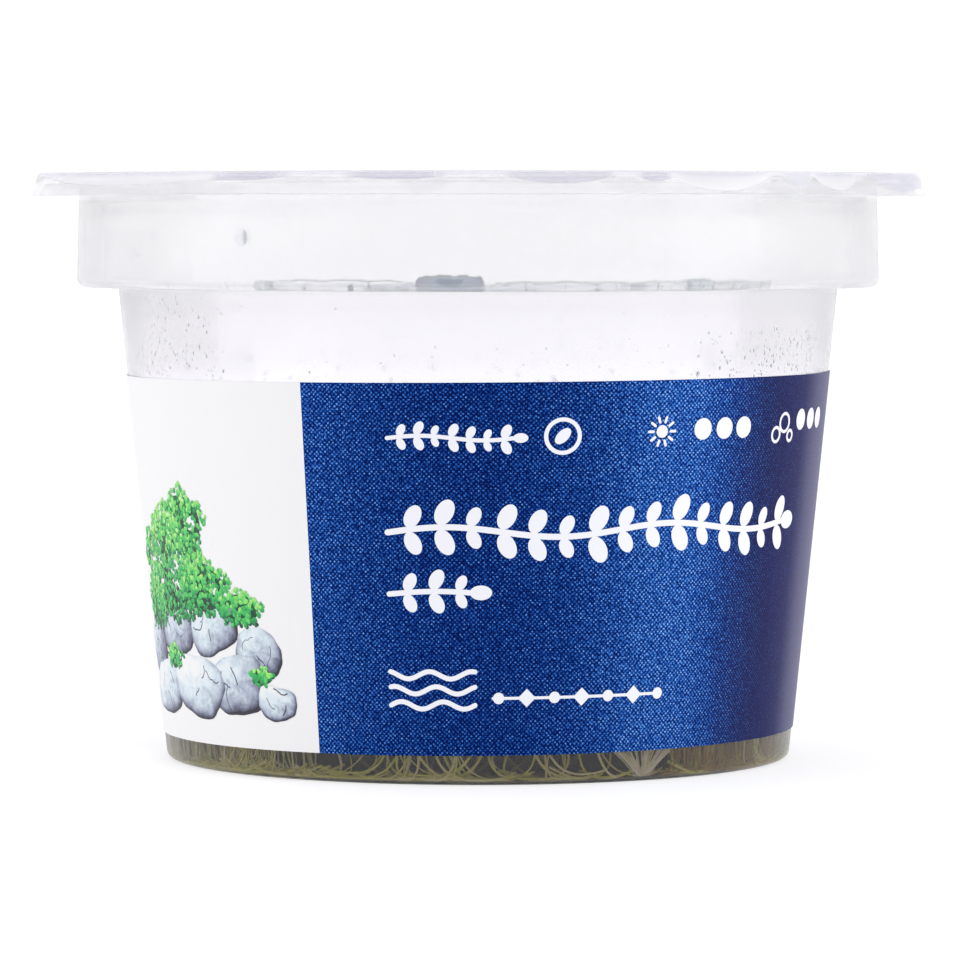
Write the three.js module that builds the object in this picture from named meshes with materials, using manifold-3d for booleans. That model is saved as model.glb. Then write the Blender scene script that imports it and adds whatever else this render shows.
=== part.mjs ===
// Dwarf baby tears growing in a sealed culture cup: a tapered see-through cup with a stacking collar,
// a film sealed over its rim, a wrap label, and plantlets rooted in nutrient gel.
// Millimetres, +Z up, origin at the middle of the cup's underside, label front towards -Y.

import * as THREE from 'three';
import { mergeVertices } from 'three/addons/utils/BufferGeometryUtils.js';
import Module from 'manifold-3d';

const wasm = await Module();
wasm.setup();

// Cup, driving dimensions
const facets = 48;             // sides of every round piece, so that neighbours' facets line up
const rimRadius = 47.96;       // lower edge of the turned-down lip
const rimTop = 62.3;           // sealing face
const lipHeight = 2.2;
const lipLean = 0.9;           // how much wider the lip is at its lower edge
const lipThickness = 0.8;
const flangeThickness = 0.9;
const collarRadiusTop = 42.7;
const collarRadiusLow = 43.0;
const collarBottom = 50.4;
const collarCorner = 1.0;
const collarInside = 40.86;
const shelfHeight = 59.25;     // step inside the mouth
const mouthRadius = 41.9;
const neckRadius = 38.55;      // top of the tapered body
const bodyTaper = 0.1014;      // radius gained per millimetre of height
const wall = 0.9;
const floorThickness = 1.0;
const footFillet = 1.6;

// Film
const filmThickness = 0.2;
const filmMarginLow = 60.8;    // lowest points of the wavy margin
const filmMarginWave = 0.5;

// Label
const labelLow = 3.1;
const labelHigh = 41.2;
const labelThickness = 0.12;
const labelHalfAngle = 97.5;   // degrees each way from the front, so the back stays open
const labelTilt = 0.0067;      // applied a little askew, rising towards +X

// Gel and plants
const gelTop = 10.5;
const fitGap = 0.05;           // clearance between pieces that touch
const centreRadius = 11.0;     // the middle plantlet
const plantletGap = 0.5;
const ringCount = 6;
const ringRadius = 22.5;       // where the outer plantlets are rooted
const cushionHeight = 16.0;    // above the gel
const rootRadius = 1.6;
const rootDepth = 6.0;
const rootSides = 8;
const rootGap = 0.3;
const leafRadius = 1.7;
const leafThickness = 0.5;
const leafSink = 0.45;         // how far a leaf's middle lies below the cushion's top
const leafRows = 5;            // rows and columns of leaves on each plantlet
const leafSpread = 0.68;       // how near the patch's edge the outermost leaves grow

const bodyRadius = (z) => neckRadius - bodyTaper * (collarBottom - z);
const insideRadius = (z) => bodyRadius(z) - wall;

const plastic = new THREE.MeshStandardMaterial({
  color: 0xeeedf4, roughness: 0.25, metalness: 0, transparent: true, opacity: 0.35 });
const clearFilm = new THREE.MeshStandardMaterial({
  color: 0xf4f4f8, roughness: 0.15, metalness: 0, transparent: true, opacity: 0.3 });
const printedFilm = new THREE.MeshStandardMaterial({ color: 0x1f4289, roughness: 0.4, metalness: 0 });
const gel = new THREE.MeshStandardMaterial({
  color: 0x8c8a5a, roughness: 0.1, metalness: 0, transparent: true, opacity: 0.7 });
const leafGreen = new THREE.MeshStandardMaterial({ color: 0x5f9a2c, roughness: 0.5, metalness: 0 });

// Repeatable random numbers between 0 and 1
function randomSource(seed) {
  let state = seed >>> 0;
  return () => {
    state = (state + 0x6d2b79f5) >>> 0;
    let t = state;
    t = Math.imul(t ^ (t >>> 15), t | 1);
    t ^= t + Math.imul(t ^ (t >>> 7), t | 61);
    return ((t ^ (t >>> 14)) >>> 0) / 4294967296;
  };
}

// Shared vertices merged and collapsed triangles dropped, so that the surface is closed
function closed(geometry) {
  const bare = geometry.clone();
  bare.deleteAttribute('normal');
  bare.deleteAttribute('uv');
  const merged = mergeVertices(bare, 1e-4);
  const index = merged.index.array;
  const kept = [];
  for (let i = 0; i < index.length; i += 3) {
    const [a, b, c] = [index[i], index[i + 1], index[i + 2]];
    if (a !== b && b !== c && a !== c) kept.push(a, b, c);
  }
  merged.setIndex(kept);
  merged.computeVertexNormals();
  return merged;
}

function solidOf(geometry) {
  const merged = closed(geometry);
  return new wasm.Manifold(new wasm.Mesh({
    numProp: 3,
    vertProperties: new Float32Array(merged.attributes.position.array),
    triVerts: new Uint32Array(merged.index.array),
  }));
}

function geometryOf(solid) {
  const mesh = solid.getMesh();
  const geometry = new THREE.BufferGeometry();
  geometry.setAttribute('position', new THREE.BufferAttribute(new Float32Array(mesh.vertProperties), 3));
  geometry.setIndex(new THREE.BufferAttribute(new Uint32Array(mesh.triVerts), 1));
  geometry.computeVertexNormals();
  return geometry;
}

// A closed outline of radius and height turned about +Z, starting at the front (-Y)
function turned(outline) {
  const points = outline.map(([radius, z]) => new THREE.Vector2(radius, z));
  return closed(new THREE.LatheGeometry(points, facets).rotateX(Math.PI / 2));
}

// Points of an arc in the radius and height plane, angles in degrees from the outward direction
function arc(radius, z, size, from, to, steps) {
  const points = [];
  for (let i = 0; i <= steps; i++) {
    const angle = THREE.MathUtils.degToRad(from + (to - from) * i / steps);
    points.push([radius + size * Math.cos(angle), z + size * Math.sin(angle)]);
  }
  return points;
}

// Triangles of a surface given as rows of points, where every row has as many points
function sheet(rows, closedRound) {
  const count = rows[0].length;
  const faces = [];
  for (let i = 0; i + 1 < rows.length; i++) {
    for (let j = 0; j < (closedRound ? count : count - 1); j++) {
      const next = (j + 1) % count;
      const [a, b] = [i * count + j, i * count + next];
      const [c, d] = [a + count, b + count];
      faces.push(a, b, d, a, d, c);
    }
  }
  return faces;
}

function surface(points, faces) {
  const geometry = new THREE.BufferGeometry();
  geometry.setAttribute('position', new THREE.Float32BufferAttribute(points.flat(), 3));
  geometry.setIndex(faces);
  return closed(geometry);
}

function around(radius, z, angle) {
  return [radius * Math.sin(angle), -radius * Math.cos(angle), z];
}

// The foot's round corner ends where it meets the leaning wall
const lean = Math.atan(bodyTaper);
function footCorner(size, offset, bottom, steps) {
  const z = bottom + size;
  const touch = z - size * Math.sin(lean);
  const radius = bodyRadius(touch) - offset - size * Math.cos(lean);
  return arc(radius, z, size, -90, -THREE.MathUtils.radToDeg(lean), steps);
}

function cup() {
  const lipLow = rimTop - lipHeight;
  const lipTopRadius = rimRadius - lipLean;
  const collarFillet = 0.7;
  const outside = [
    [0, 0],
    ...footCorner(footFillet, 0, 0, 3),
    [neckRadius, collarBottom],
    ...arc(collarRadiusLow - collarCorner, collarBottom + collarCorner, collarCorner, -90, 0, 2),
    [collarRadiusTop, rimTop - flangeThickness - collarFillet],
    [collarRadiusTop + collarFillet, rimTop - flangeThickness],
    [lipTopRadius - lipThickness, rimTop - flangeThickness],
    [rimRadius - lipThickness, lipLow],
    [rimRadius, lipLow],
    [lipTopRadius, rimTop],
  ];
  const ledge = collarBottom + wall;
  const inside = [
    [mouthRadius, rimTop],
    [mouthRadius, shelfHeight],
    [collarInside, shelfHeight],
    [collarInside, ledge],
    [insideRadius(ledge), ledge],
    ...footCorner(footFillet - wall, wall, floorThickness, 2).reverse(),
    [0, floorThickness],
  ];
  return turned([...outside, ...inside]);
}

// A flat disc over the mouth whose margin is folded down along the lip, longer in some places
function filmLid() {
  const lipRadius = (z) => rimRadius - lipLean * (z - (rimTop - lipHeight)) / lipHeight;
  const rows = [];
  const ring = (radiusAt, heightAt) => {
    const row = [];
    for (let j = 0; j < facets; j++) {
      const angle = 2 * Math.PI * j / facets;
      row.push(around(radiusAt(angle), heightAt(angle), angle));
    }
    rows.push(row);
  };
  const margin = (angle) => filmMarginLow
    + filmMarginWave * (0.5 + 0.25 * Math.sin(3 * angle + 0.6) + 0.25 * Math.sin(7 * angle + 2.1));
  const outer = (angle) => lipRadius(margin(angle)) + fitGap + filmThickness;
  const inner = (angle) => lipRadius(margin(angle)) + fitGap;
  const fold = rimRadius - lipLean;
  ring(() => 0, () => rimTop);
  ring(() => fold + fitGap, () => rimTop);
  ring(inner, margin);
  ring(outer, margin);
  ring(() => fold + fitGap + filmThickness, () => rimTop + filmThickness * 0.4);
  ring(() => fold - 0.1, () => rimTop + filmThickness);
  ring(() => 0, () => rimTop + filmThickness);
  return surface(rows.flat(), sheet(rows, true));
}

function label() {
  const steps = facets * labelHalfAngle / 180;
  const rows = [];
  for (let i = 0; i <= steps; i++) {
    const angle = THREE.MathUtils.degToRad(-labelHalfAngle + 2 * labelHalfAngle * i / steps);
    const rise = labelTilt * bodyRadius(0) * Math.sin(angle);
    const corner = (z, out) => around(bodyRadius(z + rise) + fitGap + out, z + rise, angle);
    rows.push([
      corner(labelLow, 0), corner(labelLow, labelThickness),
      corner(labelHigh, labelThickness), corner(labelHigh, 0),
    ]);
  }
  const last = (rows.length - 1) * 4;
  const ends = [0, 3, 2, 0, 2, 1, last, last + 1, last + 2, last, last + 2, last + 3];
  const geometry = surface(rows.flat(), [...sheet(rows, true), ...ends]);
  return turnedOutwards(geometry);
}

// Triangles reversed where a surface was drawn inside out
function turnedOutwards(geometry) {
  const position = geometry.attributes.position;
  const index = geometry.index.array;
  const corners = [new THREE.Vector3(), new THREE.Vector3(), new THREE.Vector3()];
  let volume = 0;
  for (let i = 0; i < index.length; i += 3) {
    corners.forEach((corner, k) => corner.fromBufferAttribute(position, index[i + k]));
    volume += corners[0].dot(corners[1].cross(corners[2]));
  }
  if (volume > 0) return geometry;
  const turnedIndex = [];
  for (let i = 0; i < index.length; i += 3) turnedIndex.push(index[i], index[i + 2], index[i + 1]);
  geometry.setIndex(turnedIndex);
  return geometry;
}

function rootPlaces() {
  const places = [[0, 0]];
  for (let i = 0; i < ringCount; i++) {
    const [x, y] = around(ringRadius, 0, 2 * Math.PI * i / ringCount);
    places.push([x, y]);
  }
  return places;
}

function rootPlug(radius, from, to) {
  return new THREE.CylinderGeometry(radius, radius * 0.8, to - from, rootSides)
    .rotateX(Math.PI / 2)
    .translate(0, 0, (from + to) / 2);
}

function nutrientGel() {
  let solid = solidOf(turned([
    [0, floorThickness + fitGap],
    ...footCorner(footFillet - wall, wall + fitGap, floorThickness + fitGap, 2),
    [insideRadius(gelTop) - fitGap, gelTop],
    [0, gelTop],
  ]));
  for (const [x, y] of rootPlaces()) {
    const pocket = rootPlug(rootRadius + rootGap, gelTop - rootDepth - rootGap, gelTop + 1);
    solid = solid.subtract(solidOf(pocket.translate(x, y, 0)));
  }
  return geometryOf(solid);
}

// The top of a low cushion over a patch of the gel, higher in the middle and lumpy.
// place(u, v) gives the spot for u and v from -1 to 1, and the cushion runs out to the patch's edge.
function cushionTop(place, height, random) {
  const waves = Array.from({ length: 4 }, () => [0.5 * random() + 0.2, 0.5 * random() + 0.2, 6 * random()]);
  const lumps = (x, y) => waves.reduce((sum, [a, b, c]) => sum + Math.sin(a * x + b * y + c), 0) * 0.35;
  const crown = (t) => Math.pow(1 - Math.pow(Math.abs(t), 6), 1 / 3);
  return (u, v) => {
    const [x, y] = place(u, v);
    return [x, y, gelTop + rootGap + crown(u) * crown(v) * (height + lumps(x, y))];
  };
}

// The top as a grid of squares, closed underneath by a flat fan from the grid's edge to its middle
function cushion(topAt) {
  const steps = 7;
  const spread = (step) => Math.sin(Math.PI * (step / steps - 0.5));
  const rows = [];
  for (let i = 0; i <= steps; i++) {
    const row = [];
    for (let j = 0; j <= steps; j++) row.push(topAt(spread(i), spread(j)));
    rows.push(row);
  }
  const edge = [];
  for (let j = 0; j < steps; j++) edge.push(j);
  for (let i = 0; i < steps; i++) edge.push(i * (steps + 1) + steps);
  for (let j = steps; j > 0; j--) edge.push(steps * (steps + 1) + j);
  for (let i = steps; i > 0; i--) edge.push(i * (steps + 1));
  const [middleX, middleY] = topAt(0, 0);
  const middle = (steps + 1) * (steps + 1);
  const under = edge.flatMap((vertex, i) => [edge[(i + 1) % edge.length], vertex, middle]);
  const points = [...rows.flat(), [middleX, middleY, gelTop + rootGap]];
  return turnedOutwards(surface(points, [...sheet(rows, false), ...under]));
}

// A small round leaf, thick in the middle, half sunk in the cushion and tipped any way
function leaf(x, y, z, random) {
  const size = leafRadius * (0.8 + 0.4 * random());
  return new THREE.SphereGeometry(1, 6, 2)
    .scale(size, leafThickness, size)
    .rotateX(Math.PI / 2 + 0.9 * (random() - 0.5))
    .rotateY(0.9 * (random() - 0.5))
    .rotateZ(6.28 * random())
    .translate(x, y, z);
}

function plantlet(rootX, rootY, place, height, seed) {
  const random = randomSource(seed);
  const topAt = cushionTop(place, height, random);
  let solid = solidOf(cushion(topAt));
  const along = (step) => leafSpread * (2 * (step + 0.6 * (random() - 0.5)) / (leafRows - 1) - 1);
  for (let i = 0; i < leafRows; i++) {
    for (let j = 0; j < leafRows; j++) {
      const [x, y, z] = topAt(along(i), along(j));
      solid = solid.add(solidOf(leaf(x, y, z - leafSink, random)));
    }
  }
  const root = rootPlug(rootRadius, gelTop - rootDepth, gelTop + 2).translate(rootX, rootY, 0);
  return geometryOf(solid.add(solidOf(root)));
}

// The middle plantlet covers a disc and each of the others a sixth of the ring round it
const discPlace = (u, v) => {
  const reach = centreRadius - plantletGap / 2;
  return [reach * u * Math.sqrt(1 - v * v / 2), reach * v * Math.sqrt(1 - u * u / 2)];
};

function ringPlace(middle) {
  const low = centreRadius + plantletGap / 2;
  const high = insideRadius(gelTop) - 2 * plantletGap;
  return (u, v) => {
    const radius = (low + high) / 2 + (high - low) / 2 * u;
    const half = Math.PI / ringCount - plantletGap / 2 / radius;
    const [x, y] = around(radius, 0, middle + half * v);
    return [x, y];
  };
}

const culture = new THREE.Group();

function addPiece(name, geometry, material) {
  const mesh = new THREE.Mesh(geometry, material);
  mesh.name = name;
  culture.add(mesh);
}

addPiece('cup', cup(), plastic);
addPiece('film_lid', turnedOutwards(filmLid()), clearFilm);
addPiece('label', label(), printedFilm);
addPiece('nutrient_gel', nutrientGel(), gel);
rootPlaces().forEach(([x, y], i) => {
  const place = i === 0 ? discPlace : ringPlace(2 * Math.PI * (i - 1) / ringCount);
  const height = cushionHeight * (i === 0 ? 1 : 0.88 + 0.1 * Math.sin(2.3 * i));
  addPiece(`plantlet_${i + 1}`, plantlet(x, y, place, height, 11 + i), leafGreen);
});

export default culture;
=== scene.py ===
import math
import random

import bpy
import numpy as np
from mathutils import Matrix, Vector


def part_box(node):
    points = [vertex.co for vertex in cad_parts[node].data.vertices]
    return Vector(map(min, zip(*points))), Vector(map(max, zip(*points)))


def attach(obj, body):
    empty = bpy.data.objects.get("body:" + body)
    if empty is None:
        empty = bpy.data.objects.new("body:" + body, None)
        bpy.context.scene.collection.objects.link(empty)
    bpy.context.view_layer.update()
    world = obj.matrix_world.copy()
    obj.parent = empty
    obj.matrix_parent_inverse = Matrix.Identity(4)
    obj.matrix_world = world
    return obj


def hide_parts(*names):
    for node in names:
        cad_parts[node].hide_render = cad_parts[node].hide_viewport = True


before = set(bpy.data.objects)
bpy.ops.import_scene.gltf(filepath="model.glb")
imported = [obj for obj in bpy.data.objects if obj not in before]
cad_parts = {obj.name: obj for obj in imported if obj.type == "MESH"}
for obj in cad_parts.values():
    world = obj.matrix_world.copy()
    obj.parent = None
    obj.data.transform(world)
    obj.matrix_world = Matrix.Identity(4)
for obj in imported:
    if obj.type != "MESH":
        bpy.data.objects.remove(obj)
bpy.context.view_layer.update()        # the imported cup, film, label, gel and plantlets, in metres
mm = 0.001               # everything below is drawn in millimetres and placed in metres

# Round pieces start at the front, where the label faces -Y, and turn towards +X.
cupShape = {
    "segments": 192,
    "rimRadius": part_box("cup")[1].x / mm,
    "rimTop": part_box("cup")[1].z / mm,
    "lipHeight": 2.2,
    "lipLean": 0.9,
    "lipThickness": 0.8,
    "flangeThickness": 0.9,
    "collarRadiusTop": 42.7,
    "collarRadiusLow": 43.0,
    "collarBottom": 50.4,
    "collarInside": 40.86,
    "shelfHeight": 59.25,
    "mouthRadius": 41.9,
    "neckRadius": 38.55,
    "taper": 0.1014,
    "wall": 0.45,
    "ledge": 0.5,            # thickness of the step under the collar
    "floor": 0.4,
    "footFillet": 0.8,
}
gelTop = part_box("nutrient_gel")[1].z / mm


def bodyRadius(z):
    return cupShape["neckRadius"] - cupShape["taper"] * (cupShape["collarBottom"] - z)


def insideRadius(z):
    return bodyRadius(z) - cupShape["wall"]


# The inside of the wall down into its round corner above the floor
def wallInside(z):
    corner = cupShape["footFillet"] - cupShape["wall"]
    above = cupShape["floor"] + corner - np.clip(z, cupShape["floor"], cupShape["floor"] + corner)
    return insideRadius(z) - corner + np.sqrt(corner ** 2 - above ** 2)


# The point at a radius and an azimuth, or many of them
def around(radius, azimuth, z):
    return np.stack(np.broadcast_arrays(radius * np.sin(azimuth), -radius * np.cos(azimuth), z), -1)


def unit(vectors):
    return vectors / np.maximum(np.linalg.norm(vectors, axis=-1, keepdims=True), 1e-9)


# Colours are written as on a screen and turned linear here
def linearColour(code):
    parts = [int(code[i:i + 2], 16) / 255 for i in (1, 3, 5)]
    return [c / 12.92 if c <= 0.04045 else ((c + 0.055) / 1.055) ** 2.4 for c in parts] + [1.0]


# Adds a node. Settings fill its sockets or its own settings by name, or a ramp's stops, each a place and a
# colour. Links come from other nodes' sockets, or from a node, which stands for its first output.
def addNode(tree, kind, settings=None, links=None):
    node = tree.nodes.new("ShaderNode" + kind)
    for name, value in (settings or {}).items():
        if name == "stops":
            shades = node.color_ramp.elements
            while len(shades) < len(value):
                shades.new(0.5)
            for shade, (place, code) in zip(shades, value):
                shade.position = place
                shade.color = linearColour(code)
        elif isinstance(name, int) or name in node.inputs:
            node.inputs[name].default_value = value
        else:
            setattr(node, name, value)
    for name, source in (links or {}).items():
        output = source.outputs[0] if isinstance(source, bpy.types.Node) else source
        tree.links.new(output, node.inputs[name])
    return node


def newMaterial(name):
    material = bpy.data.materials.new(name)
    material.use_nodes = True
    material.node_tree.nodes.clear()
    return material, material.node_tree


# The surface that a material ends in, with a volume behind it where one is given
def addSurface(tree, settings, links=None, **behind):
    surface = addNode(tree, "BsdfPrincipled", settings, links)
    addNode(tree, "OutputMaterial", None, {"Surface": surface, **behind})


# The tone that a mesh keeps at each point, made uneven by grains of a size in millimetres
def unevenTone(tree, grain, amount, detail, distortion=0.0):
    tone = addNode(tree, "Attribute", {"attribute_name": "tone"})
    place = addNode(tree, "TexCoord")
    noise = addNode(tree, "TexNoise", {"Scale": 1 / (grain * mm), "Detail": detail, "Distortion": distortion},
                    {"Vector": place.outputs["Object"]})
    mottled = addNode(tree, "Math", {"operation": "MULTIPLY_ADD", 1: amount},
                      {0: noise, 2: tone.outputs["Fac"]})
    return addNode(tree, "Math", {"operation": "SUBTRACT", 1: amount / 2}, {0: mottled})


# How the plastic changes up the cup. Each value is the product of two, which go from one number to another
# between two heights in millimetres: hazy at the foot and in the collar, and let through unbent in part.
plasticFinish = {
    "Roughness": [(4.0, 1.0, 7, 12), (0.06, 0.24, 41, 51)],
    "Transmission Weight": [(0.996, 0.93, 40, 42), (1.0, 0.86, 49.8, 51)],
    "Alpha": [(1.0, 0.84, 40, 44), (1.0, 0.5, 59.2, 60.2)],
}


# Clear polypropylene, injection moulded: see-through, milky in the thick rim, with a satin skin
def makePolypropylene():
    material, tree = newMaterial("polypropyleneMoulded")
    place = addNode(tree, "TexCoord").outputs["Object"]
    height = addNode(tree, "SeparateXYZ", None, {"Vector": place}).outputs["Z"]
    links = {}
    for socket, spans in plasticFinish.items():
        pair = [addNode(tree, "MapRange", {"From Min": bottom * mm, "From Max": top * mm,
                                           "To Min": low, "To Max": high}, {"Value": height})
                for low, high, bottom, top in spans]
        links[socket] = addNode(tree, "Math", {"operation": "MULTIPLY"}, {0: pair[0], 1: pair[1]})
    share = addNode(tree, "MapRange", {"From Min": 49 * mm, "From Max": 52 * mm}, {"Value": height})
    links["Base Color"] = addNode(tree, "ValToRGB", {"stops": [(0.0, "#FCFBFD"), (1.0, "#FFFFFF")]},
                                  {"Fac": share})
    skin = addNode(tree, "TexNoise", {"Scale": 1 / (6 * mm), "Detail": 2.0}, {"Vector": place})
    links["Normal"] = addNode(tree, "Bump", {"Strength": 0.12, "Distance": 0.05 * mm}, {"Height": skin})
    addSurface(tree, {"IOR": 1.33}, links)
    return material


# Clear laminated lidding film, heat sealed: glossy, with stretch marks, and folds drawn paler with painted
# reflections or greyer with painted shade
def makeFilmMaterial():
    material, tree = newMaterial("liddingFilm")
    place = addNode(tree, "TexCoord").outputs["Object"]
    fold = addNode(tree, "Attribute", {"attribute_name": "fold"})
    # painted reflections and painted shade: the folds' tone runs from grey to white
    colour = addNode(tree, "ValToRGB", {"stops": [(0.0, "#C9C8D8"), (0.5, "#EEEEF2"), (1.0, "#FFFFFF")]},
                     {"Fac": fold.outputs["Fac"]})
    # Too thin to bend light, so it is partly let through unbent, and less so where it is sealed on the rim
    level = addNode(tree, "VectorMath", {"operation": "MULTIPLY", 1: (1, 1, 0)}, {0: place})
    reach = addNode(tree, "VectorMath", {"operation": "LENGTH"}, {0: level})
    solid = addNode(tree, "MapRange", {"From Min": 41.5 * mm, "From Max": 42.5 * mm,
                                       "To Min": 0.08, "To Max": 0.34}, {"Value": reach.outputs["Value"]})
    marks = addNode(tree, "TexNoise", {"Scale": 1 / (4 * mm), "Detail": 3.0, "Distortion": 1.2},
                    {"Vector": place})
    bump = addNode(tree, "Bump", {"Strength": 0.35, "Distance": 0.1 * mm}, {"Height": marks})
    addSurface(tree, {"Roughness": 0.14, "IOR": 1.5}, {"Base Color": colour, "Alpha": solid, "Normal": bump})
    return material


# Water that has condensed inside the cup: clear beads, and pools tinted grey, darker towards their edges, as
# painted shade
def makeWater(name, tint, rim=None):
    material, tree = newMaterial(name)
    links = {}
    if rim:                  # painted shade: a pool is drawn darker towards its edge
        tone = addNode(tree, "Attribute", {"attribute_name": "tone"})
        links["Base Color"] = addNode(tree, "ValToRGB", {"stops": [(0.3, tint), (0.8, rim)]},
                                      {"Fac": tone.outputs["Fac"]})
    addSurface(tree, {"Base Color": linearColour(tint), "Roughness": 0.0, "IOR": 1.333,
                      "Transmission Weight": 1.0}, links)
    return material


# Set agar gel: clear, and dimmed to olive by what has grown in it
def makeGelMaterial():
    material, tree = newMaterial("agarGel")
    dimming = addNode(tree, "VolumeAbsorption", {"Color": linearColour("#D2C6A2"), "Density": 300.0})
    addSurface(tree, {"Base Color": linearColour("#FBFBF4"), "Roughness": 0.02, "IOR": 1.34,
                      "Transmission Weight": 1.0}, Volume=dimming)
    return material


# Soft living tissue: colour from the tone kept on each leaf or stem, lit from behind as well
def makeTissue(name, stops, glow):
    material, tree = newMaterial(name)
    colour = addNode(tree, "ValToRGB", {"stops": stops}, {"Fac": unevenTone(tree, 0.6, 0.3, 2.0)})
    surface = addNode(tree, "BsdfPrincipled", {"Roughness": 0.42, "IOR": 1.4}, {"Base Color": colour})
    through = addNode(tree, "BsdfTranslucent", None, {"Color": colour})
    both = addNode(tree, "MixShader", {0: glow}, {1: surface, 2: through})
    addNode(tree, "OutputMaterial", None, {"Surface": both})
    return material


# The piece that an operator adds on its own, named
def newPiece(name, addShape, **sizes):
    bpy.ops.object.select_all(action="DESELECT")
    addShape(**sizes)
    piece = bpy.context.object
    piece.name = piece.data.name = name
    return piece


# Merges what is double and turns every face outwards
def closeShape():
    bpy.ops.object.mode_set(mode="EDIT")
    bpy.ops.mesh.select_all(action="SELECT")
    bpy.ops.mesh.remove_doubles(threshold=0.0005 * mm)
    bpy.ops.mesh.delete_loose()
    bpy.ops.mesh.select_all(action="SELECT")
    bpy.ops.mesh.normals_make_consistent(inside=False)
    bpy.ops.object.mode_set(mode="OBJECT")


# A closed outline of points (radius, height), spun once round the cup's axis
def turnOutline(name, outline, steps):
    piece = newPiece(name, bpy.ops.mesh.primitive_circle_add, vertices=len(outline), radius=mm)
    for vertex, (radius, height) in zip(piece.data.vertices, outline):
        vertex.co = (0, -radius * mm, height * mm)
    bpy.ops.object.mode_set(mode="EDIT")
    bpy.ops.mesh.select_all(action="SELECT")
    bpy.ops.mesh.spin(steps=steps, angle=2 * math.pi, center=(0, 0, 0), axis=(0, 0, 1))
    bpy.ops.object.mode_set(mode="OBJECT")
    closeShape()
    bpy.ops.object.shade_smooth_by_angle(angle=math.radians(40))
    return piece


# Turns corners given as (radius, height, fillet) into an outline with round corners
def roundCorners(corners):
    points = []
    for before, corner, after in zip(corners[-1:] + corners[:-1], corners, corners[1:] + corners[:1]):
        here = Vector(corner[:2])
        fillet = corner[2]
        if fillet == 0:
            points.append(tuple(here))
            continue
        back = (Vector(before[:2]) - here).normalized()
        ahead = (Vector(after[:2]) - here).normalized()
        half = back.angle(ahead) / 2
        middle = here + (back + ahead).normalized() * fillet / math.sin(half)
        first = here + back * fillet / math.tan(half) - middle
        last = here + ahead * fillet / math.tan(half) - middle
        start = math.atan2(first.y, first.x)
        turn = (math.atan2(last.y, last.x) - start + math.pi) % (2 * math.pi) - math.pi
        steps = max(2, round(abs(turn) / math.radians(10)))
        for i in range(steps + 1):
            angle = start + turn * i / steps
            points.append((middle.x + fillet * math.cos(angle), middle.y + fillet * math.sin(angle)))
    return points


# Keeps one number for each point of a mesh, which a material reads
def keepTones(mesh, name, tones):
    layer = mesh.attributes.new(name, "FLOAT", "POINT")
    layer.data.foreach_set("value", np.asarray(tones, dtype=np.float32))


# Many small shapes in one mesh
def joinShapes(name, points, faces, tones=None):
    mesh = bpy.data.meshes.new(name)
    mesh.from_pydata((np.asarray(points) * mm).tolist(), [], faces)
    mesh.shade_smooth()
    if tones is not None:
        keepTones(mesh, "tone", tones)
    piece = bpy.data.objects.new(name, mesh)
    bpy.context.scene.collection.objects.link(piece)
    return piece


# Gives a piece its material, hangs it under the root and hides the nodes that it replaces
def dress(piece, material, slotName, *nodes):
    piece.data.materials.clear()
    piece.data.materials.append(material)
    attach(piece, "root")
    if nodes:
        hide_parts(*nodes)


# Faces from each ring of points to the ring that follows it, and from a ring to a point at its middle
def bandFaces(first, sides):
    here = np.arange(sides)
    after = (here + 1) % sides
    corners = [first + here, first + after, first + sides + after, first + sides + here]
    return np.stack(corners, -1).reshape(-1, 4)


def fanFaces(first, sides, middle):
    here = np.arange(sides)
    return np.stack([first + here, first + (here + 1) % sides, middle + 0 * here], -1).reshape(-1, 3)


# Faces numbered on from the points that come before theirs
def countOn(faces, before):
    return [[before + i for i in face] for face in faces]


# Round threads along many routes at once, closed at both ends.
# routes holds threads x points x 3, thickness threads x points.
def threads(routes, thickness, sides=5):
    count, steps, _ = routes.shape
    along = unit(np.gradient(routes, axis=1))
    side = np.cross(along[:, 0], [0.31, 0.52, 0.79])
    angle = 2 * np.pi * np.arange(sides) / sides
    rings = np.empty((count, steps, sides, 3))
    for i in range(steps):
        side = unit(side - along[:, i] * np.sum(side * along[:, i], axis=1, keepdims=True))
        up = np.cross(along[:, i], side)
        spokes = np.cos(angle)[:, None] * side[:, None] + np.sin(angle)[:, None] * up[:, None]
        rings[:, i] = routes[:, i, None] + thickness[:, i, None, None] / 2 * spokes
    start = np.arange(count)[:, None, None] * steps * sides
    walls = bandFaces(start + np.arange(steps - 1)[:, None] * sides, sides)
    first = start[:, 0] + np.arange(sides)[::-1]
    last = start[:, 0] + (steps - 1) * sides + np.arange(sides)
    return rings.reshape(-1, 3), walls.tolist() + first.tolist() + last.tolist()


# Small round leaves, each a closed lens a little cupped, with its base at the centre of a stem
def blades(bases, outward, facing, sizes, rim=8):
    outward = unit(outward)
    facing = unit(facing - outward * np.sum(facing * outward, axis=1, keepdims=True))
    across = np.cross(facing, outward)
    half = sizes[:, None] / 2
    centres = bases + outward * half
    angle = 2 * np.pi * np.arange(rim) / rim
    edge = (np.cos(angle)[:, None] * outward[:, None] + 0.86 * np.sin(angle)[:, None] * across[:, None]
            + 0.16 * facing[:, None])
    rims = centres[:, None] + half[:, None] * edge
    top = centres + half * 0.02 * facing
    bottom = centres - half * 0.16 * facing
    points = np.concatenate([rims, top[:, None], bottom[:, None]], 1)
    start = np.arange(len(bases))[:, None] * (rim + 2)
    over = fanFaces(start, rim, start + rim)
    under = fanFaces(start, rim, start + rim + 1)[:, [1, 0, 2]]
    return points.reshape(-1, 3), over.tolist() + under.tolist()


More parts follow.
